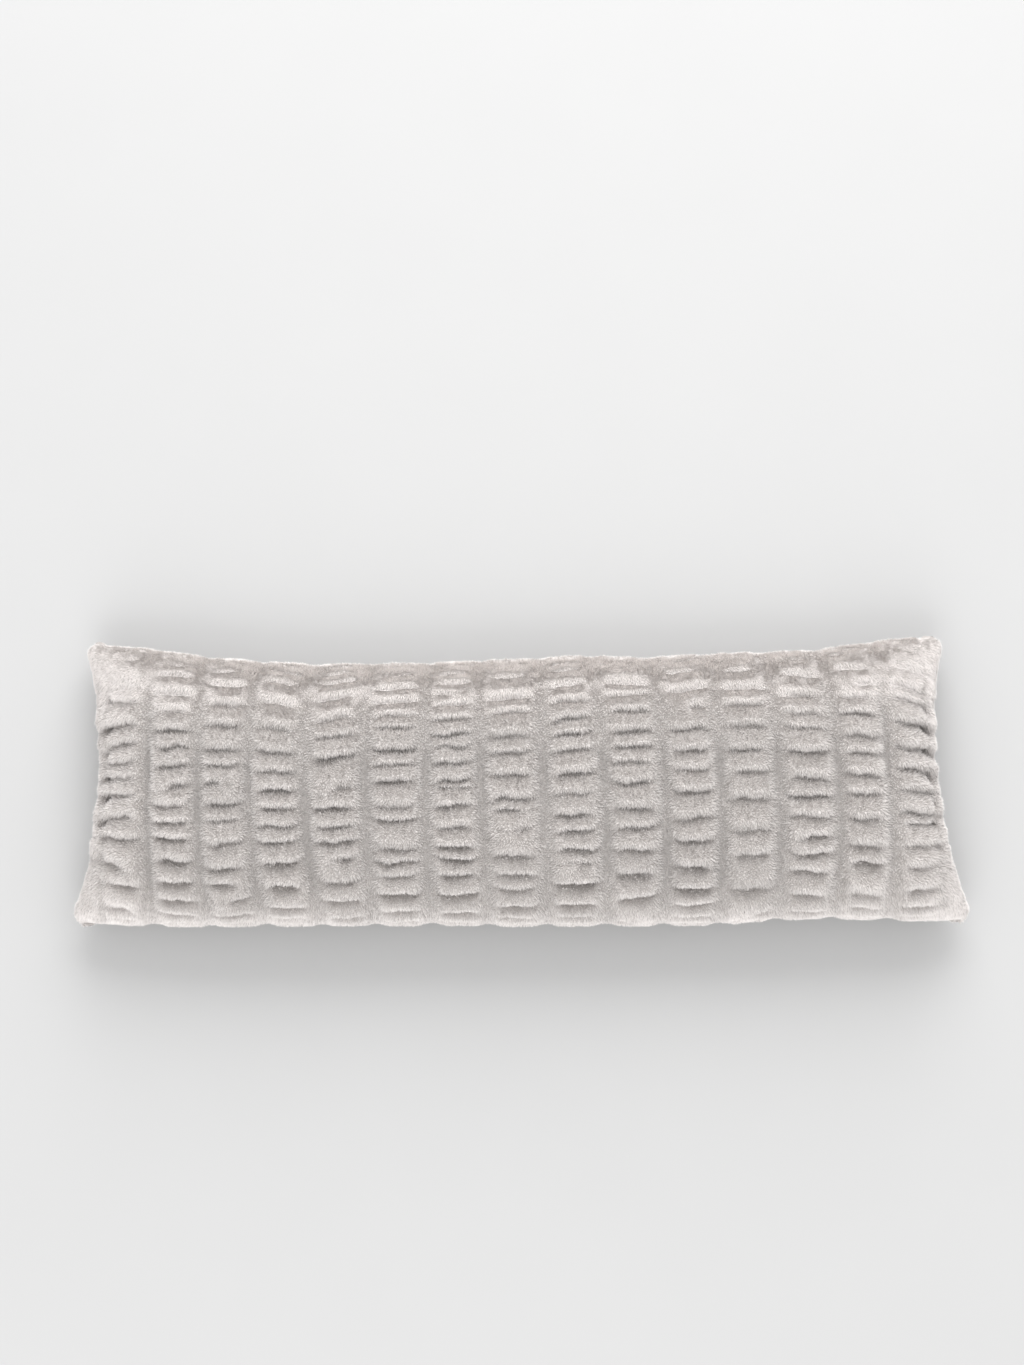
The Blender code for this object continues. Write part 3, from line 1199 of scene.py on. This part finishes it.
    def blade(self, tree: bpy.types.NodeTree) -> bpy.types.Node:
        """Add the nodes that make one blade: a triangle, narrow at its tip, with its reach.

        Args:
            tree: The tree.

        Returns:
            The node that gives the blade.
        """
        add = partial(add_node, tree)
        corner = add("GeometryNodeInputIndex")
        first = {2: corner, 3: 0}
        is_tip = add("FunctionNodeCompare", first, data_type="INT", operation="EQUAL")
        # Corners 1 and 2 are the foot, half a width to each side, in the order that faces out.
        side = add("ShaderNodeMath", {0: 1.5, 1: corner}, operation="SUBTRACT")
        side = {"Switch": is_tip, "False": side, "True": 0.0}
        side = add("GeometryNodeSwitch", side, input_type="FLOAT")
        outline = add("ShaderNodeCombineXYZ", {"X": side, "Z": is_tip})
        triangle = add("GeometryNodeMeshCircle", {"Vertices": 3}, fill_type="NGON")
        shape = add("GeometryNodeSetPosition", {"Geometry": triangle, "Position": outline})
        for name, value in (("aside", side), ("reach", is_tip)):
            marking = {"Geometry": shape, "Name": name, "Value": value}
            shape = add("GeometryNodeStoreNamedAttribute", marking)
        return shape

    def mapped(self, tree: bpy.types.NodeTree, pile: bpy.types.Node) -> bpy.types.Node:
        """Add the nodes that lay out the blades' map: their tone across it, root to tip up it.

        Args:
            tree: The tree.
            pile: The node that gives the realized blades.

        Returns:
            The node that gives them with their map.
        """
        add = partial(add_node, tree)
        darkest, lightest, blade_width = 0.5, 1.2, 0.04
        side_margin, end_margin = 0.05, 0.02
        names = ("shade", "aside", "reach")
        named = "GeometryNodeInputNamedAttribute"
        shade, aside, reach = (add(named, {"Name": name}, data_type="FLOAT") for name in names)
        tone = {"Value": shade, "From Min": darkest, "From Max": lightest}
        tone = {**tone, "To Min": side_margin, "To Max": 1 - side_margin}
        tone = add("ShaderNodeMapRange", tone)
        offset = {0: aside, 1: blade_width, 2: tone}
        offset = add("ShaderNodeMath", offset, operation="MULTIPLY_ADD")
        height = {"Value": reach, "To Min": end_margin, "To Max": 1 - end_margin}
        height = add("ShaderNodeMapRange", height)
        spot = add("ShaderNodeCombineXYZ", {"X": offset, "Y": height})
        storing = {"Geometry": pile, "Name": "OFBake", "Value": spot}
        store = "GeometryNodeStoreNamedAttribute"
        return add(store, storing, data_type="FLOAT2", domain="CORNER")

    def plant(
        self, tree: bpy.types.NodeTree, cover: bpy.types.Object, name: str, patch: int
    ) -> bpy.types.Object:
        """Plant the pile of one patch of the cover, as a plain mesh object.

        Args:
            tree: The tree that plants blades.
            cover: The cloth under the pile.
            name: The new object's name.
            patch: The number that the cover's faces carry where this pile stands.

        Returns:
            The pile.
        """
        pile = add_object(name, cover.data)
        modifier = pile.modifiers.new("planting", "NODES")
        modifier.node_group = tree
        values = {**self.sizes(), "Seed": 11 + patch, "Patch": patch}
        for socket in tree.interface.items_tree:
            if socket.name in values:
                modifier[socket.identifier] = values[socket.name]
        graph = bpy.context.evaluated_depsgraph_get()
        data = bpy.data.meshes.new_from_object(pile.evaluated_get(graph))
        data.name = name
        # The bare cloth's empty slot comes first, ahead of the fibres' material.
        if data.materials[0] is None:
            data.materials.pop(index=0)
        pile.modifiers.clear()
        pile.data = data
        return pile


@dataclass(frozen=True)
class Studio:
    """The plain pale floor, soft light and camera.

    pixel is the length that a pixel of the photograph shows. right_of_middle and below_middle are
    how many pixels the pillow lies from the picture's middle, and tilt is in degrees.
    """

    pixel: float = 1269 / 894 * MM
    frame_height: int = 1365
    right_of_middle: float = 10
    below_middle: float = 94.5
    tilt: float = 8.5
    lens: float = 60.0
    sky: float = 0.88
    key_place: tuple = (0.6, 4.9, 2.7)
    key_size: float = 5.0
    key_power: float = 430.0
    fill_place: tuple = (-0.6, -4.0, 3.0)
    fill_size: float = 4.0
    fill_power: float = 150.0
    floor_hex: str = "#b8b8b8"
    coat_hex: str = "#bababa"
    floor_roughness: float = 0.9
    floor_reach: float = 8.0
    roller_width: float = 180 * MM

    def place_camera(self, centre: Vector) -> None:
        """Look down at the pillow from the photograph's angle, with its framing.

        Args:
            centre: The middle of the pillow.
        """
        data = bpy.data.cameras.new("camera")
        data.lens = self.lens
        camera = add_object("camera", data)
        tilt = math.radians(self.tilt)
        ahead = Vector((0, math.sin(tilt), -math.cos(tilt)))
        up = Vector((0, math.cos(tilt), math.sin(tilt)))
        distance = self.frame_height * self.pixel * self.lens / data.sensor_width
        aside = Vector((-self.right_of_middle * self.pixel, 0, 0))
        shift = aside + up * self.below_middle * self.pixel
        camera.location = centre + shift - ahead * distance
        camera.rotation_euler = (tilt, 0, 0)
        bpy.context.scene.camera = camera

    def light(self) -> None:
        """Light the pillow softly, mostly from past its upper edge."""
        world = bpy.data.worlds.new("studio")
        world.use_nodes = True
        background = world.node_tree.nodes["Background"]
        background.inputs["Color"].default_value = (1, 1, 1, 1)
        background.inputs["Strength"].default_value = self.sky
        bpy.context.scene.world = world
        lamps = {
            "key": (self.key_place, self.key_size, self.key_power),
            "fill": (self.fill_place, self.fill_size, self.fill_power),
        }
        for name, (place, size, power) in lamps.items():
            data = bpy.data.lights.new(name, "AREA")
            data.size = size
            data.energy = power
            lamp = add_object(name, data)
            lamp.location = place
            lamp.rotation_euler = (-Vector(place)).to_track_quat("-Z", "Y").to_euler()

    def floor(self) -> bpy.types.Object:
        """Lay the floor, a wide pale sheet.

        Returns:
            The floor.
        """
        shape = bmesh.new()
        bmesh.ops.create_grid(shape, x_segments=1, y_segments=1, size=self.floor_reach)
        floor = add_mesh(shape, "floor")
        floor.data.materials.append(self.paint())
        return floor

    def paint(self) -> bpy.types.Material:
        """Make the floor's paint, a little uneven from one roller width to the next.

        Returns:
            The material.
        """
        # Matte emulsion put on with a roller: flat to the eye, with coats a shade apart.
        material = bpy.data.materials.new("rolled_matte_paint")
        material.use_nodes = True
        tree = material.node_tree
        add = partial(add_node, tree)
        shader = tree.nodes["Principled BSDF"]
        shader.inputs["Roughness"].default_value = self.floor_roughness
        place = add("ShaderNodeTexCoord").outputs["Object"]
        coats = {"Vector": place, "Scale": 1 / self.roller_width, "Detail": 2.0}
        coats = add("ShaderNodeTexNoise", coats)
        colours = {0: coats, 6: linear(self.floor_hex), 7: linear(self.coat_hex)}
        tone = add("ShaderNodeMix", colours, data_type="RGBA")
        tree.links.new(tone.outputs[2], shader.inputs["Base Color"])
        return material


def main() -> None:
    """Build the pillow and the studio, and report each piece."""
    logging.basicConfig(level=logging.INFO, format="%(message)s")
    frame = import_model()
    cad_low, cad_high = (Vector(corner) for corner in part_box(NODE))
    studio = Studio()
    studio.place_camera((cad_low + cad_high) / 2)
    studio.light()
    studio.floor()
    bpy.context.scene.view_settings.view_transform = "Standard"

    skin = Cover(Crown(), Ruching())
    cover = skin.build()
    skin.settle(cover)
    low, high = Vector(cover.bound_box[0]), Vector(cover.bound_box[6])
    shift = (cad_low + cad_high - low - high) / 2
    shift.z = skin.rest_height - low.z
    cover.data.transform(Matrix.Translation(shift))

    finish = PlushFinish()
    face_pile = Pile()
    back_pile = Pile(density=1.9e5, length=5 * MM, width=1.4 * MM, nap=2.5, tuft=0.3)
    tree = face_pile.tree(finish.fibres())
    patches = range(skin.face_patches)
    piles = [face_pile.plant(tree, cover, f"pile_face_{n + 1}", n) for n in patches]
    piles.append(back_pile.plant(tree, cover, "pile_back", skin.face_patches))
    cover.data.materials.append(finish.ground())
    for piece in (cover, *piles):
        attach(piece, BODY)
        log.info("%s of %s: %d faces", piece.name, list(frame["nodes"]), len(piece.data.polygons))
    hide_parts(NODE)


if __name__ == "__main__":
    main()
